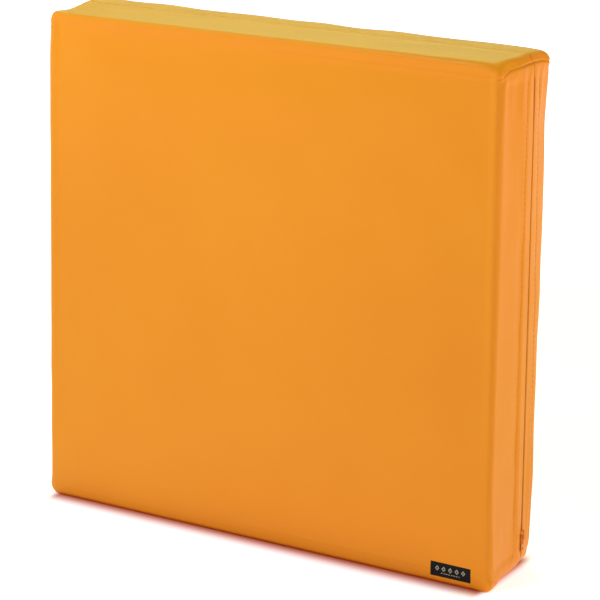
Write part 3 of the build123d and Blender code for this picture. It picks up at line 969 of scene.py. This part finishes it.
class Finish:
    """A node material under construction."""

    def __init__(self, name, roughness, sheen=0.0):
        self.material = bpy.data.materials.new(name)
        self.material.use_nodes = True
        self.tree = self.material.node_tree
        self.shader = self.tree.nodes["Principled BSDF"]
        self.shader.inputs["Roughness"].default_value = roughness
        self.shader.inputs["Sheen Weight"].default_value = sheen
        self.coords = self.node("ShaderNodeTexCoord").outputs["Object"]

    def node(self, kind, **settings):
        """A new node."""
        made = self.tree.nodes.new(kind)
        for key, value in settings.items():
            setattr(made, key, value)
        return made

    def link(self, source, target):
        """Joins an output socket to an input socket."""
        self.tree.links.new(source, target)

    def noise(self, scale, detail=3.0):
        """Noise over the object, by its scale in cells per metre."""
        made = self.node("ShaderNodeTexNoise")
        made.inputs["Scale"].default_value = scale
        made.inputs["Detail"].default_value = detail
        made.inputs["Roughness"].default_value = NOISE_ROUGHNESS
        self.link(self.coords, made.inputs["Vector"])
        return made.outputs["Fac"]

    def wave(self, direction, pitch, distortion=0.0):
        """Bands along one axis, by their pitch in millimetres."""
        made = self.node("ShaderNodeTexWave", bands_direction=direction)
        made.inputs["Scale"].default_value = 2 * pi / (20 * pitch * MM)
        made.inputs["Distortion"].default_value = distortion
        self.link(self.coords, made.inputs["Vector"])
        return made.outputs["Fac"]

    def attribute(self, name):
        """A value stored on the mesh's vertices."""
        return self.node("ShaderNodeAttribute", attribute_name=name).outputs["Fac"]

    def math(self, operation, first, second):
        """One operation on two values; each may be a number or a socket."""
        made = self.node("ShaderNodeMath", operation=operation)
        for socket, value in zip(made.inputs, (first, second)):
            if isinstance(value, (int, float)):
                socket.default_value = value
            else:
                self.link(value, socket)
        return made.outputs[0]

    def mix(self, share, first, second):
        """A colour between two; each may be a colour or a socket."""
        made = self.node("ShaderNodeMix", data_type="RGBA")
        self.link(share, made.inputs[0])
        for socket, value in zip((made.inputs[6], made.inputs[7]), (first, second)):
            if isinstance(value, tuple):
                socket.default_value = (*value, 1)
            else:
                self.link(value, socket)
        return made.outputs[2]

    def range(self, value, low, high, to_low, to_high, eased=False):
        """A value moved from one range to another, clamped at its ends."""
        made = self.node("ShaderNodeMapRange")
        made.interpolation_type = "SMOOTHSTEP" if eased else "LINEAR"
        self.link(value, made.inputs[0])
        for socket, number in zip(made.inputs[1:5], (low, high, to_low, to_high)):
            socket.default_value = number
        return made.outputs[0]

    def bump(self, height, distance, strength, under=None):
        """A bump over an optional coarser one; distance is in millimetres."""
        made = self.node("ShaderNodeBump")
        made.inputs["Distance"].default_value = distance * MM
        made.inputs["Strength"].default_value = strength
        self.link(height, made.inputs["Height"])
        if under is not None:
            self.link(under, made.inputs["Normal"])
        return made.outputs["Normal"]

    def colour(self, socket):
        """Sets the base colour."""
        self.link(socket, self.shader.inputs["Base Color"])

    def normal(self, socket):
        """Sets the normal."""
        self.link(socket, self.shader.inputs["Normal"])

    def roughness(self, socket):
        """Sets the roughness."""
        self.link(socket, self.shader.inputs["Roughness"])

    def give(self, *pieces):
        """Makes this the only material of the pieces."""
        for piece in pieces:
            piece.data.materials.clear()
            piece.data.materials.append(self.material)


ORANGE = (0.84, 0.268, 0.009)
ORANGE_DEEP = (0.82, 0.252, 0.008)
ORANGE_WORN = (0.86, 0.30, 0.025)
# Darker orange for the painted shade in the seam grooves and stitch rows
ORANGE_SEAM_SHADE = (0.72, 0.19, 0.008)
WEAVE_PITCH = 0.62


def coated_cloth():
    """Satin coated polyester: a fine even weave under a thin coat, rubbed pale along the edges,
    with painted shade darkening it along the seams and stitch rows.
    """
    f = Finish("coated_cloth", 0.42, sheen=0.3)
    f.shader.inputs["Specular IOR Level"].default_value = 0.2
    f.shader.inputs["Sheen Roughness"].default_value = 0.2
    f.shader.inputs["Sheen Tint"].default_value = (0.35, 1.0, 0.22, 1)
    drift = f.range(f.noise(5.0, 2.0), 0.35, 0.65, 0.0, 1.0)
    base = f.mix(drift, ORANGE, ORANGE_DEEP)
    rub = f.math("MULTIPLY", f.attribute("worn"), f.range(f.noise(60.0, 4.0), 0.4, 0.7, 0.0, 0.3))
    base = f.mix(rub, base, ORANGE_WORN)
    # Painted shade: darker orange along the seams and stitch rows, where their grooves fall in
    # shade
    base = f.mix(f.math("MULTIPLY", f.attribute("seam"), 0.35), base, ORANGE_SEAM_SHADE)
    f.colour(base)
    f.roughness(f.range(f.noise(220.0, 3.0), 0.3, 0.7, 0.38, 0.47))
    weave = f.math("ADD", f.wave("X", WEAVE_PITCH), f.wave("Z", WEAVE_PITCH))
    weave = f.math("ADD", weave, f.wave("Y", WEAVE_PITCH))
    coarse = f.bump(f.noise(38.0, 3.0), 0.5, 0.25)
    f.normal(f.bump(weave, 0.03, 0.5, coarse))
    return f


def soft_foam():
    """Cream polyurethane foam with open cells."""
    f = Finish("cream_foam", 0.9)
    cells = f.node("ShaderNodeTexVoronoi")
    cells.inputs["Scale"].default_value = 900
    f.link(f.coords, cells.inputs["Vector"])
    f.colour(f.mix(f.noise(24.0), (0.83, 0.79, 0.66), (0.76, 0.70, 0.54)))
    f.normal(f.bump(cells.outputs["Distance"], 0.4, 0.8))
    return f


def woven_tape():
    """Herringbone zip tape."""
    f = Finish("zip_tape_weave", 0.75, sheen=0.2)
    rib = f.math("MULTIPLY", f.wave("Y", 0.9, 0.6), f.wave("Z", 0.7, 0.6))
    f.colour(f.mix(rib, (0.60, 0.16, 0.012), (0.80, 0.25, 0.02)))
    f.normal(f.bump(rib, 0.15, 0.8))
    return f


def coil_plastic():
    """Dyed nylon spiral."""
    f = Finish("coil_nylon", 0.35)
    f.colour(f.mix(f.noise(90.0), (0.74, 0.22, 0.015), (0.64, 0.18, 0.012)))
    f.normal(f.bump(f.noise(2600.0, 2.0), 0.03, 0.5))
    return f


def lacquered_zip():
    """Zip alloy under an orange lacquer, rubbed through in small spots."""
    f = Finish("lacquered_zinc", 0.34)
    f.shader.inputs["Specular IOR Level"].default_value = 0.35
    rubbed = f.range(f.noise(420.0, 5.0), 0.64, 0.70, 0.0, 1.0)
    lacquer = f.mix(f.noise(150.0), (0.82, 0.27, 0.014), (0.76, 0.235, 0.012))
    f.colour(f.mix(rubbed, lacquer, (0.68, 0.60, 0.50)))
    f.link(rubbed, f.shader.inputs["Metallic"])
    f.roughness(f.range(f.noise(700.0, 4.0), 0.3, 0.7, 0.28, 0.45))
    f.normal(f.bump(f.noise(1500.0, 4.0), 0.04, 0.5))
    return f


def twisted_thread(name, pale, deep):
    """Twisted polyester sewing thread."""
    f = Finish(name, 0.55)
    f.shader.inputs["Specular IOR Level"].default_value = 0.15
    twist = f.wave("DIAGONAL", 0.55)
    f.colour(f.mix(twist, deep, pale))
    f.normal(f.bump(twist, 0.12, 0.8))
    return f


def label_weave():
    """Black satin label with pale woven marks."""
    f = Finish("label_satin", 0.6)
    f.shader.inputs["Specular IOR Level"].default_value = 0.12
    warp = f.wave("X", 0.42)
    weft = f.wave("Z", 0.3)
    rib = f.math("MULTIPLY", warp, weft)
    ground = f.mix(rib, (0.006, 0.005, 0.006), (0.022, 0.018, 0.018))
    f.colour(f.mix(f.math("GREATER_THAN", f.attribute("motif"), 0.5), ground, (0.42, 0.38, 0.34)))
    f.normal(f.bump(rib, 0.08, 0.7))
    return f


coated_cloth().give(front_cloth, back_cloth)
soft_foam().give(foam)
woven_tape().give(zip_pieces[0], zip_pieces[2])
coil_plastic().give(zip_pieces[1], zip_pieces[3])
twisted_thread("orange_thread", (0.82, 0.27, 0.012), (0.74, 0.225, 0.010)).give(*threads)
twisted_thread("black_thread", (0.035, 0.03, 0.03), (0.01, 0.009, 0.01)).give(label_thread)
label_weave().give(woven_label)
lacquered_nodes = ("zip_slider", "zip_pull", "zip_end_stops", "zip_start_stop")
lacquered_zip().give(*(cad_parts[name] for name in lacquered_nodes))


# ---- Stage, light and camera -----------------------------
CAMERA_AZIMUTH = radians(30.33)
CAMERA_ELEVATION = radians(16.10)
CAMERA_ROLL = radians(0.93)
CAMERA_TARGET = Vector((13.95, 0, 213.36)) * MM
CAMERA_DISTANCE = 2.2245
CAMERA_SENSOR = 36
CAMERA_LENS = 153.66
camera_data = bpy.data.cameras.new("camera")
camera_data.sensor_width = CAMERA_SENSOR
camera_data.lens = CAMERA_LENS
camera = bpy.data.objects.new("camera", camera_data)
bpy.context.scene.collection.objects.link(camera)
level = cos(CAMERA_ELEVATION)
back = Vector((sin(CAMERA_AZIMUTH) * level, -cos(CAMERA_AZIMUTH) * level, sin(CAMERA_ELEVATION)))
right = (-back).cross(Vector((0, 0, 1))).normalized()
upward = right.cross(-back)
rolled_right = cos(CAMERA_ROLL) * right + sin(CAMERA_ROLL) * upward
rolled_up = -sin(CAMERA_ROLL) * right + cos(CAMERA_ROLL) * upward
turned = Matrix((rolled_right, rolled_up, back)).transposed().to_4x4()
camera.matrix_world = Matrix.Translation(CAMERA_TARGET + back * CAMERA_DISTANCE) @ turned
bpy.context.scene.camera = camera

FLOOR_HALF = 9000
FLOOR_CORNERS = ((-1, -1), (1, -1), (1, 1), (-1, 1))
floor_points = [(FLOOR_HALF * x, FLOOR_HALF * y, 0) for x, y in FLOOR_CORNERS]
floor = link_mesh("floor", floor_points, [(0, 1, 2, 3)])

# The painted contact shadow under the pad: its half width in x and y, and how quickly it fades
# there
FOOT = (("X", HALF_X - 11, 2.2), ("Y", HALF_Y - 2, 1.0))
# Distances from the pad's foot, in metres, over which the floor brightens: first the painted shadow
# fades out, then the painted glow of its emission changes with distance
PAINTED_SHADOW_SPREAD = 0.027
NEAR_GLOW_SPREAD = (0.1, 0.6)
FAR_GLOW_SPREAD = (0.8, 2.6)


def shadow_painted_floor():
    """A white floor with a painted warm contact shadow at the pad's foot, and a painted glow from
    its emission that brightens it away from the foot.
    """
    f = Finish("shadow_painted_floor", 0.9)
    f.shader.inputs["Specular IOR Level"].default_value = 0.0
    place_on = f.node("ShaderNodeSeparateXYZ")
    f.link(f.coords, place_on.inputs[0])
    squares = []
    for axis, half, pull_in in FOOT:
        gap = f.math("SUBTRACT", f.math("ABSOLUTE", place_on.outputs[axis], 0), half * MM)
        squares.append(f.math("POWER", f.math("MULTIPLY", f.math("MAXIMUM", gap, 0), pull_in), 2))
    away = f.math("SQRT", f.math("ADD", squares[0], squares[1]), 0)
    # Painted shadow: the base colour is a dark orange-red at the pad's foot, standing in for
    # contact shade and orange bounce light, and turns white away from it
    rise = f.range(away, 0.0, PAINTED_SHADOW_SPREAD, 0.0, 1.0, eased=True)
    f.colour(f.mix(rise, (0.62, 0.12, 0.05), (0.9, 0.9, 1.0)))
    # Painted glow: the floor's emission lights the floor and the pad like a lamp; it is off at the
    # foot and varies with distance from it
    nearby = f.range(away, *NEAR_GLOW_SPREAD, 0.72, 0.5)
    beyond = f.range(away, *FAR_GLOW_SPREAD, 0.0, 0.75)
    f.shader.inputs["Emission Color"].default_value = (0.98, 0.78, 1, 1)
    painted_glow = f.math("MULTIPLY", rise, f.math("ADD", nearby, beyond))
    f.link(painted_glow, f.shader.inputs["Emission Strength"])
    return f


shadow_painted_floor().give(floor)


# Softboxes: name, place, aim, size, watts and tint
SOFTBOXES = (
    ("overhead_rear", (-0.8, 1.15, 1.85), (-0.05, 0, 0.4), 1.3, 12.2, (0.53, 1, 0.34)),
    ("low_rear", (-1.0, 1.9, 1.5), (0, 0, 0.4), 1.2, 8, (0.5, 1, 0.4)),
    ("high_key", (-0.45, -0.75, 1.25), (-0.05, 0, 0.35), 0.6, 11.7, (0.715, 1, 0.67)),
    ("side", (1.8, 0.8, 1.4), (0.1, 0, 0.35), 1.1, 20.4, (0.86, 0.93, 0.05)),
)


def softbox(name, spot, toward, size, watts, tint):
    """A square area light at spot, aimed at toward; all in metres."""
    lamp = bpy.data.lights.new(name, "AREA")
    lamp.shape = "SQUARE"
    lamp.color = tint
    lamp.size = size
    lamp.energy = watts
    made = bpy.data.objects.new(name, lamp)
    bpy.context.scene.collection.objects.link(made)
    made.location = spot
    aim = Vector(toward) - Vector(spot)
    made.rotation_mode = "QUATERNION"
    made.rotation_quaternion = aim.to_track_quat("-Z", "Y")


for lamp_settings in SOFTBOXES:
    softbox(*lamp_settings)

world = bpy.data.worlds.new("studio")
world.use_nodes = True
world.node_tree.nodes["Background"].inputs["Color"].default_value = (1, 1, 1, 1)
world.node_tree.nodes["Background"].inputs["Strength"].default_value = 0.25
bpy.context.scene.world = world
bpy.context.scene.view_settings.view_transform = "Standard"
bpy.context.scene.view_settings.look = "None"
